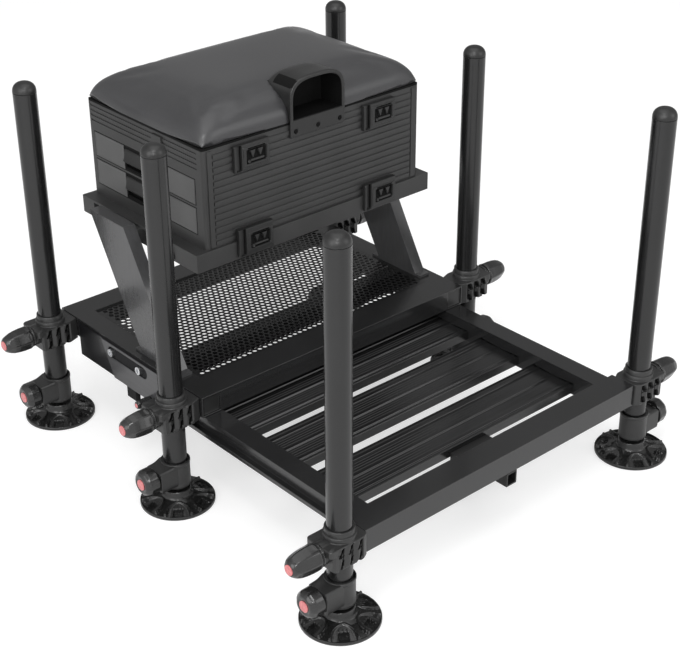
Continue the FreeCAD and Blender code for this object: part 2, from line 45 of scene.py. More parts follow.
legAcross = 309.4


# shader maths: a wrapped socket that takes plain operators

class Wire:
    def __init__(self, graph, socket):
        self.graph = graph
        self.socket = socket

    def maths(self, operation, other=None, flip=False):
        values = [self, other] if other is not None else [self]
        if flip:
            values.reverse()
        return self.graph.node("ShaderNodeMath", {"operation": operation}, dict(enumerate(values)))

    def __add__(self, other):
        return self.maths("ADD", other)

    __radd__ = __add__

    def __mul__(self, other):
        return self.maths("MULTIPLY", other)

    __rmul__ = __mul__

    def __sub__(self, other):
        return self.maths("SUBTRACT", other)

    def __rsub__(self, other):
        return self.maths("SUBTRACT", other, flip=True)

    def __gt__(self, other):
        return self.maths("GREATER_THAN", other)

    def __lt__(self, other):
        return self.maths("LESS_THAN", other)

    def sine(self):
        return self.maths("SINE")

    def size(self):
        return self.maths("ABSOLUTE")


class Graph:
    # a node tree and one way to add any node to it
    def __init__(self, tree):
        self.tree = tree

    def node(self, kind, settings, sockets, output=0):
        made = self.tree.nodes.new(kind)
        for key, value in settings.items():
            if key == "stops":
                ramp = made.color_ramp
                while len(ramp.elements) < len(value):
                    ramp.elements.new(0.5)
                for element, (at, colour) in zip(ramp.elements, value):
                    element.position = at
                    element.color = (*colour, 1)
            else:
                setattr(made, key, value)
        for key, value in sockets.items():
            if isinstance(value, Wire):
                self.tree.links.new(value.socket, made.inputs[key])
            else:
                made.inputs[key].default_value = value
        return Wire(self, made.outputs[output])


class Paint(Graph):
    # one material with its principled shader, painted in object coordinates
    def __init__(self, name, **fixed):
        self.material = bpy.data.materials.new(name)
        self.material.use_nodes = True
        super().__init__(self.material.node_tree)
        self.shader = self.tree.nodes["Principled BSDF"]
        for socket, value in fixed.items():
            self.shader.inputs[socket.replace("_", " ")].default_value = value
        self.place = self.node("ShaderNodeTexCoord", {}, {}, "Object")

    def noise(self, scale, detail=3.0, stretch=(1, 1, 1)):
        place = self.node("ShaderNodeMapping", {}, {"Vector": self.place, "Scale": stretch})
        return self.node("ShaderNodeTexNoise", {}, {"Vector": place, "Scale": scale, "Detail": detail})

    def axes(self):
        split = self.node("ShaderNodeSeparateXYZ", {}, {"Vector": self.place}).socket.node
        return [Wire(self, split.outputs[i]) for i in range(3)]

    def ramp(self, factor, stops):
        return self.node("ShaderNodeValToRGB", {"stops": stops}, {"Fac": factor})

    def blendOf(self, factor, first, second):
        return self.node("ShaderNodeMix", {"data_type": "RGBA"}, {0: factor, 6: first, 7: second}, 2)

    def bump(self, height, strength, distance=0.0003):
        return self.node("ShaderNodeBump", {}, {"Height": height, "Strength": strength, "Distance": distance})

    def wear(self, **links):
        for socket, value in links.items():
            self.tree.links.new(value.socket, self.shader.inputs[socket.replace("_", " ")])
        return self.material


def anodisedFinish(name, tone, rough, stretch, coat=0.3):
    # drawn aluminium, dyed black: fine lines along the extrusion and a cloudy dye
    paint = Paint(name, Metallic=0.15, Coat_Weight=coat, Coat_Roughness=0.12, Specular_IOR_Level=0.5)
    cloud = paint.noise(9, 4)
    lines = paint.noise(60, 2, stretch)
    dark = (tone * 0.8,) * 3
    light = (tone * 1.2, tone * 1.2, tone * 1.25)
    tint = paint.ramp(cloud * 0.6 + lines * 0.4, [(0.25, dark), (0.75, light)])
    roughness = rough + (lines - 0.5) * 0.08
    return paint.wear(Base_Color=tint, Roughness=roughness, Normal=paint.bump(lines, 0.03))


def mouldedFinish(name, tone, rough, grain, depth, gloss=0.0, shine=0.5):
    # moulded plastic: a fine pebbled grain, rubbed a little smoother in patches
    paint = Paint(name, Coat_Weight=gloss, Coat_Roughness=0.2, Specular_IOR_Level=shine)
    pebbles = paint.node("ShaderNodeTexVoronoi", {"feature": "SMOOTH_F1"},
                         {"Vector": paint.place, "Scale": grain, "Smoothness": 0.6})
    rub = paint.noise(14, 5)
    tint = paint.ramp(rub, [(0.3, (tone * 0.85,) * 3), (0.7, (tone * 1.2,) * 3)])
    roughness = rough + (rub - 0.5) * 0.2
    return paint.wear(Base_Color=tint, Roughness=roughness, Normal=paint.bump(pebbles, depth))


# the guide rail's side, in metres: where its facing starts, its lower edge and its slot
plateSide = {"facing": 0.2765, "low": 0.1128, "slotZ": (0.1478, 0.1682), "slotY": (0.1298, 0.2372)}


def plateSideFinish():
    # the raked facing is light; the plate behind it, the slot's floor and the stop are near black
    paint = Paint("plateAnodised", Metallic=0.15, Coat_Roughness=0.12)
    x, y, z = paint.axes()
    lines = paint.noise(60, 2, (3, 0.3, 3))
    facing = (x.size() > plateSide["facing"]) * (z > plateSide["low"])
    light = paint.ramp(lines, [(0.3, (0.046, 0.046, 0.048)), (0.7, (0.060, 0.060, 0.063))])
    tint = paint.blendOf(facing, (0.005, 0.005, 0.006, 1), light)
    (bottom, top), (front, rear) = plateSide["slotZ"], plateSide["slotY"]
    slot = (x.size() < plateSide["facing"]) * (z > bottom) * (z < top) * (y > front) * (y < rear)
    dull = slot + (z < plateSide["low"])
    return paint.wear(Base_Color=tint, Roughness=lines * 0.1 + 0.26 + dull * 0.6, Coat_Weight=0.3 - dull * 0.3,
                      Normal=paint.bump(lines, 0.03))


def badgeFinish():
    # pink moulding with a faint speckle
    paint = Paint("badgePink", Coat_Weight=0.4, Coat_Roughness=0.15)
    speckle = paint.noise(300, 2)
    tint = paint.ramp(speckle, [(0.3, (0.50, 0.12, 0.13)), (0.7, (0.68, 0.22, 0.22))])
    return paint.wear(Base_Color=tint, Roughness=0.35 + speckle * 0.1)


def steelFinish():
    # bright stainless with fine turning lines
    paint = Paint("brightSteel", Metallic=1.0)
    lines = paint.noise(500, 2, (1, 8, 8))
    tint = paint.ramp(lines, [(0.3, (0.62, 0.63, 0.65)), (0.7, (0.8, 0.81, 0.82))])
    return paint.wear(Base_Color=tint, Roughness=0.2 + lines * 0.15)


def coverFinish():
    # coated seat cloth: a fine even weave under a soft sheen
    paint = Paint("seatCover", Sheen_Weight=0.05, Sheen_Roughness=0.5, Coat_Weight=0.45, Coat_Roughness=0.26)
    weave = 5200
    x, y, _ = paint.axes()
    threads = (x * weave).sine() * (y * weave).sine()
    cloud = paint.noise(7, 4)
    fine = paint.noise(900, 2)
    tint = paint.ramp(cloud * 0.7 + fine * 0.3, [(0.3, (0.019, 0.019, 0.021)), (0.7, (0.030, 0.030, 0.032))])
    roughness = 0.46 + (fine - 0.5) * 0.2
    return paint.wear(Base_Color=tint, Roughness=roughness, Normal=paint.bump(threads * 0.5 + fine, 0.12))


# name, tone, roughness and the noise's stretch along the extrusion, or the grain's scale and depth
legFinish = anodisedFinish("legAnodised", 0.010, 0.24, (40, 40, 0.6), coat=0.25)
railFinish = anodisedFinish("railAnodised", 0.017, 0.24, (1, 30, 40))
armFinish = anodisedFinish("armAnodised", 0.055, 0.24, (3, 3, 0.5))
plankFinish = anodisedFinish("plankAnodised", 0.010, 0.24, (0.6, 40, 40))
shellFinish = mouldedFinish("boxMoulding", 0.026, 0.46, 900, 0.2)
partFinish = mouldedFinish("blackMoulding", 0.012, 0.36, 1100, 0.15)
collarFinish = mouldedFinish("collarMoulding", 0.022, 0.34, 1300, 0.12)
knobFinish = mouldedFinish("knobMoulding", 0.014, 0.20, 1500, 0.08, gloss=0.3)
rubberFinish = mouldedFinish("footRubber", 0.010, 0.26, 700, 0.12, gloss=0.25)
frontFinish = mouldedFinish("drawerMoulding", 0.070, 0.5, 900, 0.2)
# near black: the drawers' and lid panel's moulding, and also painted shade in the clamps' slots, the latches'
# recesses, the grip's pocket and its screw holes
blackAndPaintedShade = mouldedFinish("pitchMouldingAndPaintedShade", 0.003, 0.7, 900, 0.2, shine=0.15)
plateFinish = plateSideFinish()
badgePaint = badgeFinish()
steelPaint = steelFinish()
coverPaint = coverFinish()
print("finishes ready")


# surfaces: a grid of points from a formula in two parameters, or a stack of loops

def step(value, low, high):
    # 0 below low, 1 above high, smooth between
    t = np.clip((value - low) / (high - low), 0, 1)
    return t * t * (3 - 2 * t)


def between(value, up, down):
    # rises over the span up and falls over the span down
    return step(value, *up) * (1 - step(value, *down))


def gridOf(formula, countU, countV, wrapU=False):
    # formula takes arrays u and v from 0 to 1 and gives x, y, z in millimetres
    u = np.linspace(0, 1, countU, endpoint=not wrapU)
    v = np.linspace(0, 1, countV)
    gridU, gridV = np.meshgrid(u, v, indexing="ij")
    points = np.stack(np.broadcast_arrays(*formula(gridU, gridV)), -1)
    return meshOf(points, wrapU)


def meshOf(points, wrapU=False):
    # a grid of points in millimetres gives vertices in metres and quads
    countU, countV = points.shape[:2]
    index = np.arange(countU * countV).reshape(countU, countV)
    if wrapU:
        index = np.vstack([index, index[:1]])
    quads = np.stack([index[:-1, :-1], index[1:, :-1], index[1:, 1:], index[:-1, 1:]], -1).reshape(-1, 4)
    return points.reshape(-1, 3) * mm, quads


def loft(loops):
    # closed loops of equally many points, the first and last drawn together to a point
    loops = [np.array(loop, float) for loop in loops]
    ends = [np.broadcast_to(loop.mean(0), loop.shape) for loop in (loops[0], loops[-1])]
    return meshOf(np.stack([ends[0]] + loops + [ends[1]], 1), wrapU=True)


def along(profile, v):
    # walks a list of corners: v from 0 to 1 gives the point there, evenly by corner
    corners = np.array(profile, float)
    steps = v * (len(corners) - 1)
    return [np.interp(steps, np.arange(len(corners)), corners[:, k]) for k in range(corners.shape[1])]


def softened(profile, reach=1.5, steps=4, closed=False):
    # rounds each corner of a profile with a quadratic curve that starts reach before it
    corners = np.array(profile, float)
    if closed:
        corners = np.vstack([corners[-1:], corners, corners[:1]])
    made = [] if closed else [corners[:1]]
    for before, here, after in zip(corners[:-2], corners[1:-1], corners[2:]):
        share = [min(0.45, reach / max(np.linalg.norm(end - here), 1e-6)) for end in (before, after)]
        first = here + (before - here) * share[0]
        last = here + (after - here) * share[1]
        t = np.linspace(0, 1, steps)[:, None]
        made.append((1 - t) ** 2 * first + 2 * t * (1 - t) * here + t ** 2 * last)
    if not closed:
        made.append(corners[-1:])
    return np.vstack(made)


def evenly(corners, count):
    # the same closed outline with evenly spaced points
    ring = np.vstack([corners, corners[:1]])
    length = np.concatenate([[0], np.cumsum(np.linalg.norm(np.diff(ring, axis=0), axis=1))])
    at = np.linspace(0, length[-1], count, endpoint=False)
    return np.stack([np.interp(at, length, ring[:, k]) for k in range(2)], -1)


def turned(profile, centre, segments=72, axis="z", outward=1):
    # a profile of (radius, height) carried round an axis through centre
    profile = np.array(profile, float)
    x, y, z = centre

    def formula(u, v):
        radius, height = along(profile, v)
        cosine, sine = np.cos(2 * np.pi * u), np.sin(2 * np.pi * u)
        if axis == "z":
            return x + radius * cosine, y + radius * sine, z + height
        if axis == "y":
            return x + radius * cosine, y - height, z + radius * sine
        return x + outward * height, y + radius * cosine, z + radius * sine
    return gridOf(formula, segments, len(profile), wrapU=True)


def reliefPlate(place, width, height, thick, relief, spacing=0.8, soft=1.5):
    # a closed plate: place maps (across, up, out) to x, y, z; relief gives the front face's height
    a = np.linspace(0, width, int(width / spacing) + 1)
    b = np.linspace(0, height, int(height / spacing) + 1)
    a = np.concatenate([a[:1], a, a[-1:]])
    b = np.concatenate([b[:1], b, b[-1:]])
    gridA, gridB = np.meshgrid(a, b, indexing="ij")
    edge = np.minimum(np.minimum(gridA, width - gridA), np.minimum(gridB, height - gridB))
    drop = soft * (1 - np.sqrt(1 - np.clip(1 - edge / soft, 0, 1) ** 2))
    out = relief(gridA, gridB) * np.clip(edge / soft, 0, 1) - drop
    rim = np.zeros_like(out, bool)
    rim[[0, -1], :] = True
    rim[:, [0, -1]] = True
    front = np.where(rim, -thick, out)
    back = np.full_like(front, -thick)
    return [meshOf(np.stack(np.broadcast_arrays(*place(gridA, gridB, face)), -1)) for face in (front, back)]


def sunkField(wide, tall, start, end, depth=0.5):
    # a relief: a plain rim round a field that lies depth lower, with its wall from start to end off the edge
    return lambda a, b: -depth * step(np.minimum(np.minimum(a, wide - a), np.minimum(b, tall - b)), start, end)


def makePiece(name, grids, body, finish, stands=(), crease=35, closed=True):
    # joins grids into one mesh, closes its seams and turns its faces outwards
    points = np.vstack([g[0] for g in grids])
    shifts = np.cumsum([0] + [len(g[0]) for g in grids[:-1]])
    quads = np.vstack([g[1] + s for g, s in zip(grids, shifts)])
    mesh = bpy.data.meshes.new(name)
    mesh.vertices.add(len(points))
    mesh.vertices.foreach_set("co", points.astype(np.float32).ravel())
    mesh.loops.add(quads.size)
    mesh.loops.foreach_set("vertex_index", quads.astype(np.int32).ravel())
    mesh.polygons.add(len(quads))
    mesh.polygons.foreach_set("loop_start", np.arange(0, quads.size, 4, dtype=np.int32))
    mesh.update(calc_edges=True)
    work = bmesh.new()
    work.from_mesh(mesh)
    bmesh.ops.remove_doubles(work, verts=work.verts, dist=2e-6)
    bmesh.ops.dissolve_degenerate(work, edges=work.edges, dist=1e-6)
    if closed:
        bmesh.ops.recalc_face_normals(work, faces=work.faces)
    work.to_mesh(mesh)
    work.free()
    shadeSmooth(mesh)
    mesh.set_sharp_from_angle(angle=math.radians(crease))
    mesh.materials.append(finish)
    piece = bpy.data.objects.new(name, mesh)
    bpy.context.scene.collection.objects.link(piece)
    if body:
        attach(piece, body)
    if stands:
        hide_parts(*stands)
    return piece


def shadeSmooth(mesh):
    mesh.polygons.foreach_set("use_smooth", np.ones(len(mesh.polygons), bool))


def dressNode(name, finish, edge=0.6):
    # a carried-over CAD node keeps its mesh and gets its finish and softened edges
    piece = nodes[name]
    piece.data.materials.clear()
    piece.data.materials.append(finish)
    shadeSmooth(piece.data)
    weld = piece.modifiers.new("weld", "WELD")
    weld.merge_threshold = 1e-6
    bevel = piece.modifiers.new("edge", "BEVEL")
    bevel.width = edge * mm
    bevel.segments = 2
    bevel.limit_method = "ANGLE"
    bevel.angle_limit = math.radians(32)
    bevel.use_clamp_overlap = True
    even = piece.modifiers.new("even", "WEIGHTED_NORMAL")
    even.weight = 100


def darken(piece, deep):
    # faces whose centre in millimetres and normal pass the test are painted pitch black as painted shade, in
    # slots, recesses and pockets
    piece.data.materials.append(blackAndPaintedShade)
    for face in piece.data.polygons:
        if deep(face.center / mm, face.normal):
            face.material_index = 1


# legs

leg = {"radius": 18.0, "wall": 2.5, "foot": 45.0, "top": 565.0, "crown": 580.8}


def makeLeg(tag, node, body, centre):
    # a turned tube with its wall, and a domed cap on its end
    r, low, top = leg["radius"], leg["foot"], leg["top"]
    bore = r - leg["wall"]
    tube = [(bore, low), (r, low), (r, top - 0.6), (r - 0.5, top - 0.2), (bore, top - 0.2), (bore, low)]
    makePiece(tag + "LegTube", [turned(tube, centre, 120)], body, legFinish, [node + "leg"])
    rise = leg["crown"] - top - 1.5
    dome = [(0, top), (r - 0.6, top), (r, top + 0.5)]
    dome += [(r * math.cos(a) ** 0.75 if a < 1.57 else 0, top + 1.5 + rise * math.sin(a))
             for a in np.linspace(0, np.pi / 2, 22)]
    makePiece(tag + "LegCap", [turned(dome, centre, 96)], body, partFinish)


# foot pads: heights by radius for the cone and the arches' roof, by distance out for the pockets' ramp

foot = {"rim": 57.3, "rimTop": 5.0, "pockets": 6, "turn": -125.0, "mouth": 10.6, "mouthFloor": 12.5, "band": 3.6,
        "hub": 24.0, "holeHalf": 7.0, "holeFrom": 38.0, "holeTo": 51.0, "holeFloor": 0.6,
        "cone": ([19.5, 20.6, 22.6, 24.2, 30, 54.5, 57.3], [25, 24.4, 16, 13.2, 10.4, 5.4, 5.0]),
        "roof": ([20, 26, 40, 57.3], [14.5, 13.6, 12.4, 9.8]),
        "ramp": ([26, 51, 58], [12.6, 2.4, 2.2]),
        "arch": [(24, 0), (25.5, 5.5), (29, 10.5), (33, 14), (37, 17), (41.5, 19), (46, 20.5), (54.5, 22.5)]}


def footHeight(radius, angle):
    # the pad's upper face: a cone, an arched ridge round each pocket, the pocket's ramp and its square hole
    spread = 2 * np.pi / foot["pockets"]
    turn = (angle - math.radians(foot["turn"]) + spread / 2) % spread - spread / 2
    side = np.abs(radius * np.sin(turn))
    out = radius * np.cos(turn)
    cone = np.interp(radius, *foot["cone"])
    roof = np.interp(radius, *foot["roof"])
    floor = np.interp(out, *foot["ramp"])
    arch = np.array(foot["arch"])
    gap = np.full_like(radius, 99.0)
    for start, end in zip(arch[:-1], arch[1:]):
        run = end - start
        t = np.clip(((out - start[0]) * run[0] + (side - start[1]) * run[1]) / (run @ run), 0, 1)
        gap = np.minimum(gap, np.hypot(out - start[0] - t * run[0], side - start[1] - t * run[1]))
    inside = (out > foot["hub"]) & (side < np.interp(out, arch[:, 0], arch[:, 1]))
    depth = np.where(inside, gap, -gap)  # distance inside the arch's outer line
    pocket = step(depth, foot["band"] - 0.9, foot["band"] + 0.9)
    ridge = step(depth, -0.7, 0.7) * (1 - pocket)
    fan = 0.35 * np.clip(np.cos(turn * 42), 0, 1) * step(out, 33, 38) * step(56 - radius, 0, 3)
    height = cone + (roof - cone) * ridge + (floor + fan - cone) * pocket
    hole = (step(foot["holeHalf"] - side, -0.5, 0.5) * step(out - foot["holeFrom"], -0.5, 0.5)
            * step(foot["holeTo"] - out, -0.5, 0.5))
    height = height * (1 - hole) + foot["holeFloor"] * hole
    height = np.where(radius < foot["hub"], np.maximum(height, cone), height)
    ring = step(radius, 54.4, 55.4)
    return height * (1 - ring) + (foot["rimTop"] + 0.2) * ring


def makeFoot(tag, node, body, centre):
    # v runs from the mouth's centre over the upper face, down the rim and in to the base's centre
    def formula(u, v):
        angle = 2 * np.pi * u
        share = np.clip((v - 0.04) / 0.88, 0, 1)
        radius = foot["mouth"] + (foot["rim"] - 0.6 - foot["mouth"]) * share
        radius = np.where(v < 0.04, foot["mouth"] * v / 0.04, radius)
        height = footHeight(radius, angle)
        height = np.where(v < 0.04, foot["mouthFloor"], height)
        radius = np.where(v > 0.925, foot["rim"], radius)
        height = np.where(v > 0.925, foot["rimTop"] - 0.8, height)
        height = np.where(v > 0.95, 0.6, height)
        radius = np.where(v > 0.97, foot["rim"] - 0.6, radius)
        height = np.where(v > 0.97, 0.0, height)
        radius = np.where(v > 0.99, 0.0, radius)
        return centre[0] + radius * np.cos(angle), centre[1] + radius * np.sin(angle), height
    makePiece(tag + "FootPad", [gridOf(formula, 432, 121, wrapU=True)], body + "foot pad", rubberFinish,
              [node + "foot_pad"], crease=50)


# foot collars: a turned cup with its ball below, and a square lug that carries the knob

collar = {"outline": [(0, 11.2), (8, 14.5), (10.9, 20), (10.9, 24), (8.4, 28), (6, 29), (6, 31), (20.4, 31),
                      (21.8, 32), (21.9, 36), (21.6, 38), (21.6, 69.5), (22.4, 70.2), (22.4, 74.2), (21.6, 75),
                      (20.4, 75), (20, 70), (18.1, 70), (18.1, 60), (0, 60)],
          "knobHeight": 55.0, "lugLow": 37.0, "lugHalf": 19.4, "lugTop": ([300, 325, 349], [74.4, 74.4, 68.5]),
          "lugRings": ((300, 0), (325, 0), (348, 0), (349, 1))}


def makeCollar(tag, node, body, centre, sign):
    cup = turned(softened(collar["outline"], 0.8), centre, 96)
    ring = np.linspace(0, 2 * np.pi, 160, endpoint=False)
    cosine, sine = np.cos(ring), np.sin(ring)
    loops = []
    for x, shrink in collar["lugRings"]:
        # a rounded square: the distance to its sides, with its corners cut by a high-power mean
        wide = collar["lugHalf"] - shrink
        above = np.interp(x, *collar["lugTop"]) - collar["knobHeight"] - shrink
        below = collar["knobHeight"] - collar["lugLow"] - shrink
        tall = np.where(sine > 0, above, below)
        square = np.minimum(wide / np.maximum(np.abs(cosine), 1e-6), tall / np.maximum(np.abs(sine), 1e-6))
        reach = (square ** -16 + np.hypot(wide, tall) ** -16) ** (-1 / 16)
        loops.append(np.stack([np.full_like(ring, sign * x), centre[1] + reach * cosine,
                               collar["knobHeight"] + reach * sine], -1))
    makePiece(tag + "FootCollar", [cup, loft(loops)], body + "leg", collarFinish,
              [node + "foot_collar"])


# knobs: profiles of (distance out, radius), with flats that are 2 * half degrees wide

footKnob = {"flats": 9, "half": 13.0, "window": (352.5, 378.0), "badge": (374.5, 8.6),
            "profile": [(328, 0), (328, 5), (349.3, 5), (349.3, 15.5), (351.4, 15.5), (351.8, 20.2), (353, 21.2),
                        (366, 21), (370.5, 18.6), (373.4, 14.6), (373.8, 12), (373.2, 10.5), (373.2, 0)]}
clampKnob = {"flats": 7, "half": 22.0, "window": (354.0, 396.0), "badge": (398.0, 7.8),
             "profile": [(328, 0), (328, 5), (346.3, 5), (346.3, 17.4), (350.4, 17.4), (350.8, 16), (352, 16),
                         (352.4, 18.2), (355, 19.2), (366, 19.2), (376, 18.4), (384, 17), (390, 14.8),
                         (394, 12.2), (396.4, 9.6), (396.9, 8.6), (396.4, 7.9), (396.4, 0)]}


def knobGrid(shape, y, z, sign):
    # a turned outline whose flats fade out at both ends of the window
    profile = softened(shape["profile"], 1.2, 4)
    spread = 2 * np.pi / shape["flats"]
    start, end = shape["window"]

    def formula(u, v):
        reach, radius = along(profile, v)
        angle = 2 * np.pi * u
        turn = (angle + spread / 2) % spread - spread / 2
        flat = np.minimum(1, math.cos(math.radians(shape["half"])) / np.cos(turn))
        radius = radius * (1 - (1 - flat) * between(reach, (start, start + 3), (end - 8, end)))
        return sign * reach, y + radius * np.cos(angle), z + radius * np.sin(angle)
    return gridOf(formula, 216, len(profile) * 2 - 1, wrapU=True)


def badgeGrid(reach, radius, thick, y, z, sign):
    # a thin disc with a bevelled edge, its face at reach
    back = reach - thick
    outline = [(0, back), (radius, back), (radius, reach - 0.4), (radius - 0.8, reach), (0, reach)]
    return turned(softened(outline, 0.3), (0, y, z), 48, "x", sign)


def makeKnob(part, shape, tag, node, body, y, z, sign):
    holder = body + part.lower() + " knob"
    makePiece(tag + part + "Knob", [knobGrid(shape, y, z, sign)], holder, knobFinish,
              [node + part.lower() + "_knob"], crease=50)
    badge = badgeGrid(*shape["badge"], 2, y, z, sign)
    makePiece(tag + part + "Badge", [badge], holder, badgePaint)


# leg clamps: a block round the tube with leaning slots in its cheeks, a collar above and a boss for the knob

clamp = {"height": 36.6, "knobRise": 22.3, "railHalf": 20.0, "flank": [(290.4, 26), (336, 26), (340, 22)],
         "jut": 7.0, "slots": (291.0, 307.0, 323.0), "slotEdges": (-0.8, 4.8), "slotLean": 5.0, "slotDeep": 5.4,
         "lowerSlot": (-3.0, 13.0), "upperSlot": (-15.5, -4.0), "ribAt": 299.0, "ribPitch": 16.0, "ribRise": 1.8,
         "collar": [(24.2, 0), (23.4, 0.8), (23.1, 6.3), (22.4, 7.1), (21.2, 7.3), (21, 14.7), (20.3, 15.5),
                    (18.2, 15.5), (18.2, -36.6)],
         "boss": [(0, 330), (16.5, 330), (16.5, 346), (12, 346), (11, 345), (5.1, 345), (0, 345)]}


def slotCut(across, z, low, top):
    # how deep the leaning slots cut at height z, from 0 to 1
    cut = np.zeros(len(across))
    rows = [[low + edge for edge in clamp["lowerSlot"]], [top + edge for edge in clamp["upperSlot"]]]
    for start in clamp["slots"]:
        for z0, z1 in rows:
            lean = clamp["slotLean"] * (z1 - z) / (z1 - z0) if z0 < z < z1 else 0
            near, far = (start + lean + edge for edge in clamp["slotEdges"])
            within = between(z, (z0 - 0.6, z0 + 0.6), (z1 - 0.6, z1 + 0.6))
            cut += within * between(across, (near - 0.5, near + 0.5), (far - 0.5, far + 0.5))
    return np.clip(cut, 0, 1)


def makeClamp(tag, node, body, centre, sign, low, railFace):
    # rings up the block with rippled, slotted cheeks, then the collar's rings and down the bore
    y = centre[1]
    top = low + clamp["height"]
    flank = [(railFace, clamp["railHalf"])] + clamp["flank"]
    corners = [(railFace, -clamp["railHalf"])] + flank + [(x, -half) for x, half in flank[:0:-1]]
    outline = evenly(softened(corners, 1.6, 4, closed=True), 330)
    outline[:, 0] -= legAcross
    jut = clamp["jut"] * step(outline[:, 0], 10, 28)  # the top of the block juts out over the knob
    angle = np.arctan2(outline[:, 1], outline[:, 0])
    loops = []
    for z in np.concatenate([[low, low + 0.4], np.linspace(low + 1, top - 1, 46), [top - 0.4, top]]):
        shape = outline.copy()
        shape[:, 0] += jut * step(z, top - 11.2, top - 10.2)
        shape *= 1 - 0.03 * max(0.0, 1 - min(z - low, top - z))
        across = shape[:, 0] + legAcross
        cheek = np.sign(shape[:, 1]) * step(np.abs(shape[:, 1]), 24.5, 25.8)
        swell = clamp["ribRise"] * np.cos((across - clamp["ribAt"]) / clamp["ribPitch"] * 2 * np.pi)
        swell *= between(across, (282, 290), (328, 334)) * between(z, (low + 1, low + 6), (top - 5, top - 0.5))
        shape[:, 1] += cheek * (swell - 1.0 - clamp["slotDeep"] * slotCut(across, z, low, top))
        loops.append(np.stack([sign * (shape[:, 0] + legAcross), y + shape[:, 1], np.full(len(shape), z)], -1))
    for r, rise in clamp["collar"]:
        loops.append(np.stack([sign * (legAcross + r * np.cos(angle)), y + r * np.sin(angle),
                               np.full(len(angle), top + rise)], -1))
    loops.append(loops[0])
    block = meshOf(np.stack(loops, 1), wrapU=True)
    boss = turned(softened(clamp["boss"], 0.8), (0, y, low + clamp["knobRise"]), 72, "x", sign)
    made = makePiece(tag + "LegClamp", [block, boss], body, collarFinish, [node + "leg_clamp"],
                     crease=40)
    # the floors of the cheeks' slots are painted pitch black: painted shade
    darken(made, lambda c, n: 18.6 < abs(c.y - y) < 23.4 and 289 < abs(c.x) < 333 and c.z < top - 1)


# the body that holds each row's clamps, the clamp's lower edge and the rail's face
clampPlaces = {"front": ("footplate", 105.0, 279.0), "middle": ("deck", 138.4, 272.8),
               "rear": ("deck", 138.4, 272.8)}


def makeStations():
    for side, sign in sidePlaces.items():
        for row, y in rowPlaces.items():
            tag = side + row.capitalize()
            node = side + "_" + row + "_"
            body = side + " " + row + " "
            centre = (sign * legAcross, y, 0)
            holder, low, railFace = clampPlaces[row]
            makeLeg(tag, node, body + "leg", centre)
            makeFoot(tag, node, body, centre)
            makeCollar(tag, node, body, centre, sign)
            makeKnob("Foot", footKnob, tag, node, body, y, collar["knobHeight"], sign)
            makeClamp(tag, node, holder, centre, sign, low, railFace)
            makeKnob("Clamp", clampKnob, tag, node, body, y, low + clamp["knobRise"], sign)


# rail end plugs: the span across and up, and for each end its place and the way inwards

plugs = {"Deck": ((239.6, 270.2), (144.5, 173.7), {"Front": (-5.9, 1), "Rear": (379.5, -1)}),
         "Footplate": ((237.6, 256.9), (107.6, 139.0), {"Rear": (99.7, -1)})}


def makePlugs():
    # moulded plugs close the open ends of the deck's and the footplate's side rails
    for side, sign in sidePlaces.items():
        for tag, ((x0, x1), (low, high), ends) in plugs.items():
            wide, tall = x1 - x0, high - low
            for end, (y, inward) in ends.items():
                plate = reliefPlate(lambda a, b, out: (sign * (x0 + a), y - inward * (out - 1.2), low + b),
                                    wide, tall, 2.5, sunkField(wide, tall, 1.6, 2.2), 0.6, 0.8)
                makePiece(side + tag + end + "Plug", plate, tag.lower(), partFinish)


def makeLockBadge():
    badge = badgeGrid(304.8, 4.3, 1, 124.5, 117.0, -1)
    makePiece("lockKnobBadge", [badge], "footplate lock knob", badgePaint)


# the deck's perforated sheet

mesh = {"pitchX": 10.2, "pitchY": 8.83, "hole": 4.05, "front": 46.8, "rear": 334.8, "half": 237.0,
        "low": 174.3, "top": 176.3, "corners": 12, "margin": 8}


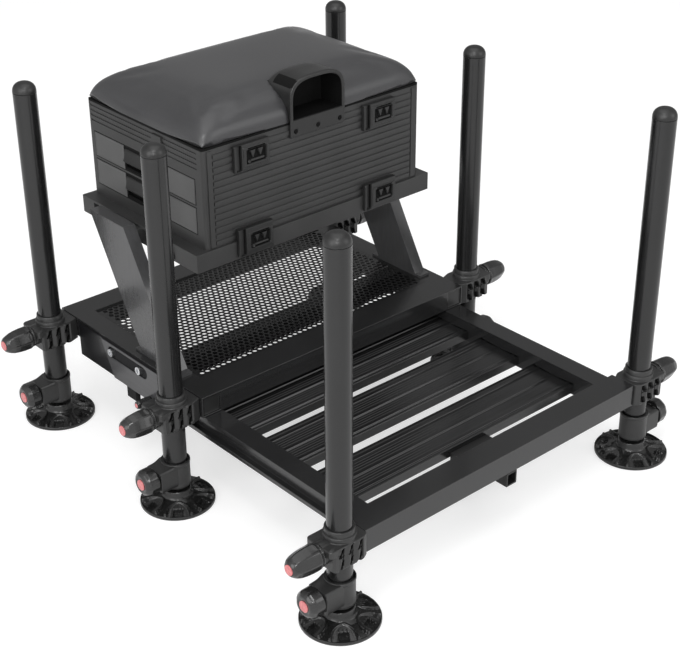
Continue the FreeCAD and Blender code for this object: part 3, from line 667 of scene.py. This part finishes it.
def makeMesh():
    # each cell is a ring from its six-sided border to its round hole, on both faces, joined by the hole's wall
    margin, pitchX = mesh["margin"], mesh["pitchX"]
    columns = int((2 * mesh["half"] - margin) // pitchX)
    rows = int((mesh["rear"] - mesh["front"] - margin) // mesh["pitchY"])
    x = (np.arange(columns) - (columns - 1) / 2) * pitchX
    y = mesh["front"] + margin + np.arange(rows) * mesh["pitchY"]
    gridX, gridY = np.meshgrid(x, y)
    gridX = gridX + np.where(np.arange(rows) % 2 == 0, -0.25, 0.25)[:, None] * pitchX
    cx, cy = gridX.reshape(-1, 1), gridY.reshape(-1, 1)
    count = mesh["corners"]
    angle = 2 * np.pi * np.arange(count) / count
    cosine, sine = np.cos(angle), np.sin(angle)
    half = pitchX / 2
    peak = half / math.cos(math.pi / 6)
    border = half / np.cos(np.abs((angle + np.pi / 6) % (np.pi / 3) - np.pi / 6))
    borderX, borderY = cx + border * cosine, cy + border * sine
    for way, limit in ((-1, mesh["front"]), (1, mesh["rear"])):
        # the outermost cells reach to the frame
        edge = (way * cx > (columns / 2 - 0.8) * pitchX) & (way * cosine > 0.8)
        outer = edge & (way * cx > (columns / 2 - 0.4) * pitchX)
        brim = (np.abs(cy - limit) < 10) & (way * sine > 0.4)
        borderX = np.where(edge, way * mesh["half"], borderX)
        borderY = np.where(outer, cy + np.sign(np.round(sine, 3)) * peak, borderY)
        borderY = np.where(brim, limit, borderY)
    holeX, holeY = cx + mesh["hole"] * cosine, cy + mesh["hole"] * sine
    rings = [np.stack([ringX, ringY, np.full_like(ringX, z)], -1)
             for ringX, ringY, z in ((borderX, borderY, mesh["top"]), (holeX, holeY, mesh["top"]),
                                     (holeX, holeY, mesh["low"]), (borderX, borderY, mesh["low"]))]
    points = np.stack(rings, 1)
    index = np.arange(points.shape[0] * 4 * count).reshape(-1, 4, count)
    after = np.roll(index, -1, 2)
    quads = [np.stack([index[:, k], index[:, k + 1], after[:, k + 1], after[:, k]], -1).reshape(-1, 4)
             for k in range(3)]
    sheet = (points.reshape(-1, 3) * mm, np.vstack(quads))
    makePiece("deckMesh", [sheet], "deck", plankFinish, ["deck_mesh"], crease=30, closed=False)


# footplate planks

plank = {"starts": (-290.6, -174.2, -60.7), "wide": 86.0, "top": 125.0, "low": 110.4, "half": 235.0, "wall": 3.0,
         "skin": 6.0, "strong": (12.0, 43.0, 74.0), "strongHalf": 3.2, "finePitch": 5.2, "sunk": 2.6}


def makePlanks():
    # an extruded section: strong ribs in threes, fine ribs between them and a lip down each side
    wide, top, low, wall = plank["wide"], plank["top"], plank["low"], plank["wall"]
    across = np.linspace(0, wide, 259)
    fine = 0.45 * np.clip(np.cos(2 * np.pi * across / plank["finePitch"]) * 1.6, -1, 1)
    strong = sum(step(plank["strongHalf"] - np.abs(across - at), 0, 1.4) for at in plank["strong"])
    face = top - plank["sunk"] + fine * (1 - strong) + 2.0 * strong
    lip = step(np.abs(across - wide / 2), wide / 2 - 2.4, wide / 2 - 1.6)
    face = np.minimum(face + (top - face) * lip, top)
    face[[0, -1]] -= 0.5
    roof = top - plank["skin"]
    under = [(wide, low), (wide - wall, low), (wide - wall, roof), (wall, roof), (wall, low), (0, low)]
    section = np.vstack([np.stack([across, face], -1), under])
    grids = [loft([np.stack([np.full(len(section), x), start + section[:, 0], section[:, 1]], -1)
                   for x in (-plank["half"], plank["half"])]) for start in plank["starts"]]
    makePiece("footplatePlanks", grids, "footplate", plankFinish, ["footplate_planks"],
              crease=30)


# latches: spans where each form rises and falls, across and then up

latch = {"wide": 65.0, "thick": 7.0, "places": {"left": -160.0, "right": 90.0},
         "kinds": {"lid": (488.0, 40.0, 37.5), "tray": (355.0, 43.0, 34.5)},  # lower edge, height, face
         "strip": ((3, 3.6), (12.4, 13)), "wedges": (33.0, 47.0), "wedgeUp": ((16.6, 17.2), (28.4, 29)),
         "frame": ((15.5, 16.1), (61, 61.8), (4.4, 5), (34.4, 35)),
         "field": ((21, 21.6), (57.4, 58), (9.4, 10), (30.4, 31)),
         "pad": ((29, 29.6), (54.4, 55), (11, 11.6), (14.4, 15)),
         "slit": ((24, 24.6), (55.4, 56), (31.8, 32.2), (33.4, 33.8)),
         "screw": [(0, -4), (2.6, -4), (2.6, 0.8), (1.8, 1.2), (1.4, 0.4), (0, 0.4)], "screwAt": (25.2, 13.0)}


def latchRelief(a, b):
    # a sunk strip by the pin, then a raised frame round a sunk field with two wedges over a plain pad
    def form(name):
        spans = latch[name]
        return between(a, *spans[:2]) * between(b, *spans[2:])
    wedges = sum(step(5.6 - np.abs(a - at) - (29 - b) * 0.38, 0, 0.9) for at in latch["wedges"])
    return (-4.6 * between(a, *latch["strip"]) + 1.2 * form("frame") - 3.6 * form("field")
            + 3.4 * wedges * between(b, *latch["wedgeUp"]) + 2.6 * form("pad") - 2.4 * form("slit"))


def makeLatches():
    screw = softened(latch["screw"], 0.3)
    screwX, screwZ = latch["screwAt"]
    for side, x in latch["places"].items():
        for kind, (low, tall, face) in latch["kinds"].items():
            body = side + " " + kind + " latch"
            name = side + kind.capitalize() + "Latch"
            grids = reliefPlate(lambda a, b, out: (x + a, face + 1.2 - out, low + b), latch["wide"], tall,
                                latch["thick"], latchRelief, 0.6, 1.2)
            made = makePiece(name, grids, body, partFinish, [side + "_" + kind + "_latch"],
                             crease=40)
            # the latch's recessed, forward-facing faces are painted pitch black: painted shade
            darken(made, lambda c, n: 2.0 < c.y - face < 5.5 and n.y < -0.3 and low + 2 < c.z < low + tall - 2)
            head = turned(screw, (x + screwX, face, low + screwZ), 32, "y")
            makePiece(name + "Screw", [head], body, partFinish)


# drawer fronts: light fields on each side of the handle bay

drawerField = {"levels": {"lower": (398.0, 441.5), "upper": (444.5, 486.5)}, "front": 65.8, "face": -213.0,
               "spans": ((0, 79.0), (179.8, 261.0)), "inset": 1.2, "lift": 1.5, "thick": 1.2}


def makeDrawerFronts():
    for level, (low, high) in drawerField["levels"].items():
        for start, end in drawerField["spans"]:
            wide, tall = end - start - 2 * drawerField["inset"], high - low - 2 * drawerField["lift"]
            left, bottom = drawerField["front"] + start + drawerField["inset"], low + drawerField["lift"]
            grids = reliefPlate(lambda a, b, out: (drawerField["face"] - out, left + a, bottom + b), wide, tall,
                                drawerField["thick"], sunkField(wide, tall, 2, 2.8), 0.8, 0.7)
            makePiece(level + "DrawerField" + str(int(start)), grids, level + " drawer", frontFinish,
                      crease=40)


# cushion

cushion = {"halfX": 212.0, "front": 46.4, "rear": 339.8, "low": 536.3, "rise": 50.0, "powerX": 5.1, "powerY": 4.6,
           "shoulder": 0.4, "mitre": 2.0, "voxel": 5.0, "pressure": 4.0, "frames": 20, "cap": 3.0, "near": 14}


def crownHeight(px, py):
    # each bow is (1 - |p| ** power) ** shoulder; the falls of the two join as a sum of powers mitre
    bowX = np.clip(1 - np.abs(px) ** cushion["powerX"], 0, 1) ** cushion["shoulder"]
    bowY = np.clip(1 - np.abs(py) ** cushion["powerY"], 0, 1) ** cushion["shoulder"]
    fall = ((1 - bowX) ** cushion["mitre"] + (1 - bowY) ** cushion["mitre"]) ** (1 / cushion["mitre"])
    return cushion["low"] + cushion["rise"] * np.clip(1 - fall, 0, 1)


def cushionGrid():
    # square rings from the base's centre out to the edge and back over the crown, a little rounded at corners
    halfY = (cushion["rear"] - cushion["front"]) / 2
    middle = (cushion["rear"] + cushion["front"]) / 2

    def formula(u, v):
        cosine, sine = np.cos(2 * np.pi * u), np.sin(2 * np.pi * u)
        edge = 1 / np.maximum(np.abs(cosine), np.abs(sine))
        ringX, ringY = cosine * edge, sine * edge
        corner = np.minimum(np.abs(ringX), np.abs(ringY)) ** 10
        share = np.where(v < 0.5, v * 2, np.sin((1 - v) * np.pi))
        px = ringX * (1 - 0.012 * corner) * share
        py = ringY * (1 - 0.016 * corner) * share
        z = np.where(v < 0.5, cushion["low"], crownHeight(px, py))
        return px * (cushion["halfX"] - 0.3), middle + py * (halfY - 0.3), z
    return gridOf(formula, 240, 121, wrapU=True)


def coordsOf(data):
    flat = np.empty(len(data.vertices) * 3, np.float32)
    data.vertices.foreach_get("co", flat)
    return flat.reshape(-1, 3).astype(float)


def applyAll(piece):
    # the modifiers' result takes the place of the piece's mesh
    view = bpy.context.view_layer
    view.update()
    settled = bpy.data.meshes.new_from_object(piece.evaluated_get(view.depsgraph))
    piece.modifiers.clear()
    old = piece.data
    piece.data = settled
    bpy.data.meshes.remove(old)


def swellOf(piece):
    # a remeshed copy of the cover is blown up by cloth, held at the seam; gives its points and their shifts
    copy = bpy.data.objects.new("swell", piece.data.copy())
    bpy.context.scene.collection.objects.link(copy)
    bpy.context.view_layer.objects.active = copy
    remesh = copy.modifiers.new("even", "REMESH")
    remesh.mode = "VOXEL"
    remesh.voxel_size = cushion["voxel"] * mm
    applyAll(copy)
    before = coordsOf(copy.data)
    held = copy.vertex_groups.new(name="held")
    held.add(np.nonzero(before[:, 2] < (cushion["low"] + 5) * mm)[0].tolist(), 1.0, "REPLACE")
    cover = copy.modifiers.new("cover", "CLOTH").settings
    cover.vertex_group_mass = "held"
    cover.use_pressure = True
    cover.uniform_pressure_force = cushion["pressure"]
    cover.effector_weights.gravity = 0
    cover.quality = 6
    cover.tension_stiffness = cover.compression_stiffness = 60
    cover.bending_stiffness = 6
    for number in range(1, cushion["frames"] + 1):
        bpy.context.scene.frame_set(number)
    settled = copy.evaluated_get(bpy.context.evaluated_depsgraph_get())
    shift = coordsOf(settled.to_mesh()) - before
    settled.to_mesh_clear()
    bpy.data.objects.remove(copy)
    bpy.context.scene.frame_set(1)
    length = np.linalg.norm(shift, axis=1, keepdims=True)
    print("cover settled, largest move mm", round(float(length.max()) / mm, 1))
    return before, shift * np.minimum(1, cushion["cap"] * mm / np.maximum(length, 1e-9))


def swellCover(pad):
    # each point takes the mean shift of the nearest remeshed points, and the fine mesh keeps its crisp edge
    before, shift = swellOf(pad)
    finder = KDTree(len(before))
    for index, point in enumerate(before):
        finder.insert(point, index)
    finder.balance()
    points = coordsOf(pad.data)
    for index, point in enumerate(points):
        near = finder.find_n(point, cushion["near"])
        move = sum(shift[other] for _, other, _ in near) / len(near)
        points[index] += move * float(step(point[2] / mm, cushion["low"] + 1, cushion["low"] + 12))
    points[:, 0] = np.clip(points[:, 0], -cushion["halfX"] * mm, cushion["halfX"] * mm)
    points[:, 1] = np.clip(points[:, 1], (cushion["front"] - 0.8) * mm, (cushion["rear"] + 1) * mm)
    pad.data.vertices.foreach_set("co", points.astype(np.float32).ravel())


def makeCushion():
    # the crown, swollen in a full run, with the pocket's arch cut out of its front
    pad = makePiece("seatCushion", [cushionGrid()], "lid", coverPaint, ["seat_cushion"], crease=70)
    swellCover(pad)
    pocket = loft([archLoop(hood["half"] - 2, hood["top"] - 2, y) for y in hood["pocket"]])
    cutter = makePiece("gripPocket", [pocket], "", coverPaint)
    for corner in cutter.data.vertices:
        corner.co.z -= 0.004 if corner.co.z < 0.54 else 0  # the cutter's foot goes below the cushion
    opening = pad.modifiers.new("opening", "BOOLEAN")
    opening.operation = "DIFFERENCE"
    opening.object = cutter
    opening.solver = "EXACT"
    applyAll(pad)
    bpy.data.objects.remove(cutter)
    shadeSmooth(pad.data)


# hood over the grip's pocket

hood = {"half": 53.0, "base": 562.0, "top": 603.0, "front": 40.8, "deep": 64.0, "bend": 3.2, "wall": 5.5,
        "low": 536.0, "flange": 513.0, "pocket": (30.0, 101.0), "screws": (10.0, 53.0, 96.0), "screwUp": 9.0,
        "screw": [(0, -2), (3.1, -2), (3.1, 0.3), (2.4, 0.8), (1.6, 0.9), (1.3, 0.2), (0, 0.2)]}


def archLoop(half, top, y, low=None, count=64):
    # a superellipse arch on two legs in the plane at y, closed along its foot
    low = hood["low"] if low is None else low
    t = np.linspace(0, np.pi, count)
    side, lift = np.cos(t), np.sin(t)
    x = half * np.sign(side) * np.abs(side) ** (2 / hood["bend"])
    z = hood["base"] + (top - hood["base"]) * lift ** (2 / hood["bend"])
    legs = np.linspace(low, hood["base"], 8)[:-1]
    bottom = np.linspace(-half, half, 14)[1:-1]
    x = np.concatenate([np.full(7, half), x, np.full(7, -half), bottom])
    z = np.concatenate([legs, z, legs[::-1], np.full(12, low)])
    return np.stack([x, np.full_like(x, y), z], -1)


def makeHood():
    # arches from the rounded back to the mouth, then back in along the pocket's wall
    half, top, front, deep, wall = (hood[key] for key in ("half", "top", "front", "deep", "wall"))
    loops = []
    for back, narrow, fall in ((0, 20, 26), (0.6, 8, 12), (2.5, 4.4, 7.5), (6, 2.4, 4.4), (11, 1.4, 2.2),
                               (18, 1, 0.8), (30, 0.8, 0.4), (deep - 6.5, 0.6, 0.2), (deep - 5.6, 0.4, 0),
                               (deep - 4.8, 0, 0), (deep - 1.4, 0, 0), (deep - 0.4, 0.4, 0.5), (deep, 1.2, 1.3)):
        loops.append(archLoop(half - narrow, top - fall, front + deep - back))
    for into, wide, fall in ((0, wall - 1, wall - 1), (0.8, wall, wall), (14, wall, wall),
                             (40, wall + 1, wall + 1), (46, wall + 2.5, wall + 2), (47.5, wall + 6, wall + 5)):
        loops.append(archLoop(half - wide, top - fall, front + into, hood["low"] + 3))
    made = makePiece("lidGripHood", [loft(loops)], "lid", partFinish, ["lid_grip"], crease=50)
    # the pocket's inside faces are painted pitch black: painted shade
    darken(made, lambda c, n: (abs(c.x) < half - wall + 0.8 and c.z < top - wall + 0.8
                               and front + 1.2 < c.y < front + 48))

    def relief(a, b):
        # a shallow pit round each screw
        return -0.9 * sum(step(4.2 - np.hypot(a - at, b - hood["screwUp"]), 0, 0.8) for at in hood["screws"])
    plate = reliefPlate(lambda a, b, out: (a - half, front - out + 0.2, hood["flange"] + b), 2 * half,
                        hood["low"] + 3.4 - hood["flange"], 3.6, relief, 0.8, 0.8)
    makePiece("lidGripFlange", plate, "lid", partFinish, crease=40)
    screw = softened(hood["screw"], 0.3)
    for at in hood["screws"]:
        head = turned(screw, (at - half, front, hood["flange"] + hood["screwUp"]), 32, "y")
        # the screw heads are pitch black: painted shade for the dark screw holes
        makePiece("lidGripScrew" + str(int(at)), [head], "lid", blackAndPaintedShade)


# studio: near and far are the room's brightness on the camera's side and beyond the object

studio = {"focal": 1483.37, "width": 680, "yaw": -0.7178837665, "pitch": 0.4992825963, "roll": -0.0072311864,
          "eye": (-1.3482, -1.5485, 1.3187), "towards": (-0.658, -0.753, 0.0), "near": 1.0, "far": 0.3,
          "floorTone": 0.86, "floorHalf": 14.0, "floorLevel": -0.0003, "shown": 0.38, "glow": 1.5}

# place, aim, size in metres, and power in watts
lamps = {"overhead": ((0.2, 0.2, 2.6), (0, 0, 0.2), (2.0, 2.0), 12),
         "frontHigh": ((-0.95, -0.95, 2.35), (0, 0, 0.4), (0.5, 0.5), 9),
         "behindEye": ((-1.75, -1.9, 1.75), (0, 0, 0.4), (0.5, 0.5), 14),
         "leftBank": ((-2.6, -0.6, 1.5), (0, 0, 0.4), (1.4, 2.0), 20),
         "rightBank": ((1.6, -2.8, 1.6), (0, 0, 0.3), (1.6, 1.6), 13)}


def makeCamera(scene):
    # the photo's lens, its axes from yaw and pitch and then a roll
    lens = bpy.data.cameras.new("eye")
    lens.sensor_width = 36
    lens.sensor_fit = "HORIZONTAL"
    lens.lens = 36 * studio["focal"] / studio["width"]
    lens.clip_end = 50
    eye = bpy.data.objects.new("eye", lens)
    scene.collection.objects.link(eye)
    yaw, pitch, roll = studio["yaw"], studio["pitch"], studio["roll"]
    back = Vector((math.sin(yaw) * math.cos(pitch), -math.cos(yaw) * math.cos(pitch), math.sin(pitch)))
    right = Vector((math.cos(yaw), math.sin(yaw), 0))
    up = back.cross(right)
    c, s = math.cos(roll), math.sin(roll)
    right, up = c * right + s * up, c * up - s * right
    turn = Matrix((right, up, back)).transposed().to_4x4()
    eye.matrix_world = Matrix.Translation(studio["eye"]) @ turn
    scene.camera = eye


def makeRoom(scene):
    # a bright room on the camera's side, dim on the far side, so level surfaces mirror the dim part
    world = bpy.data.worlds.new("studio")
    scene.world = world
    world.use_nodes = True
    room = Graph(world.node_tree)
    way = room.node("ShaderNodeTexCoord", {}, {}, "Generated")
    towards = room.node("ShaderNodeVectorMath", {"operation": "DOT_PRODUCT"}, {0: way, 1: studio["towards"]},
                        "Value")
    level = room.node("ShaderNodeMapRange", {"interpolation_type": "SMOOTHSTEP"},
                      {"Value": towards, "From Min": -0.75, "From Max": 0.5, "To Min": studio["far"],
                       "To Max": studio["near"]})
    ray = room.node("ShaderNodeLightPath", {}, {}, "Is Camera Ray")
    strength = room.node("ShaderNodeMix", {}, {0: ray, 2: level, 3: 1.0})
    sky = room.tree.nodes["Background"]
    sky.inputs["Color"].default_value = (1, 1, 1, 1)
    room.tree.links.new(strength.socket, sky.inputs["Strength"])


def makeLamps(scene):
    for name, (place, aim, size, power) in lamps.items():
        light = bpy.data.lights.new(name, "AREA")
        light.shape = "RECTANGLE"
        light.size, light.size_y = size
        light.energy = power
        holder = bpy.data.objects.new(name, light)
        scene.collection.objects.link(holder)
        holder.location = place
        holder.rotation_euler = (Vector(aim) - Vector(place)).to_track_quat("-Z", "Y").to_euler()


def makeFloor(scene):
    # a matt floor that the camera alone sees a share of as a glow
    tone, half, level = studio["floorTone"], studio["floorHalf"], studio["floorLevel"]
    paint = Paint("paleFloor", Base_Color=(tone, tone, tone, 1), Roughness=0.9, Specular_IOR_Level=0.0)
    share = paint.node("ShaderNodeLightPath", {}, {}, "Is Camera Ray") * studio["shown"]
    glow = paint.node("ShaderNodeEmission", {}, {"Color": (1, 1, 1, 1), "Strength": studio["glow"]})
    matt = Wire(paint, paint.shader.outputs[0])
    seen = paint.node("ShaderNodeMixShader", {}, {"Fac": share, 1: matt, 2: glow})
    paint.tree.links.new(seen.socket, paint.tree.nodes["Material Output"].inputs["Surface"])
    ground = bpy.data.meshes.new("floor")
    ground.from_pydata([(-half, -half, level), (half, -half, level), (half, half, level), (-half, half, level)],
                       [], [(0, 1, 2, 3)])
    ground.materials.append(paint.material)
    floor = bpy.data.objects.new("floor", ground)
    scene.collection.objects.link(floor)


def makeStudio():
    scene = bpy.context.scene
    makeCamera(scene)
    makeRoom(scene)
    makeLamps(scene)
    makeFloor(scene)
    scene.view_settings.view_transform = "Standard"


nodeFinishes = {"deck_frame": railFinish, "left_side_plate": plateFinish, "right_side_plate": plateFinish,
                "side_plate_bolts": steelPaint, "left_seat_arm": armFinish, "right_seat_arm": armFinish,
                "base_tray": shellFinish, "box_shell": shellFinish, "upper_drawer": blackAndPaintedShade,
                "lower_drawer": blackAndPaintedShade, "upper_drawer_latch": partFinish, "lower_drawer_latch": partFinish,
                "lid_panel": blackAndPaintedShade, "footplate_frame": railFinish, "footplate_catch": partFinish,
                "left_footplate_lock_knob": knobFinish}
nodeEdges = {"box_shell": 0.8}
for name, finish in nodeFinishes.items():
    dressNode(name, finish, nodeEdges.get(name, 0.6))
print("cad nodes dressed")
makeStations()
print("legs, feet, clamps and knobs made")
makePlugs()
makeLockBadge()
makeMesh()
makePlanks()
makeLatches()
makeDrawerFronts()
makeHood()
print("deck, planks, latches and hood made")
makeCushion()
print("cushion made")
makeStudio()
bpy.context.view_layer.update()
bpy.context.view_layer.update()
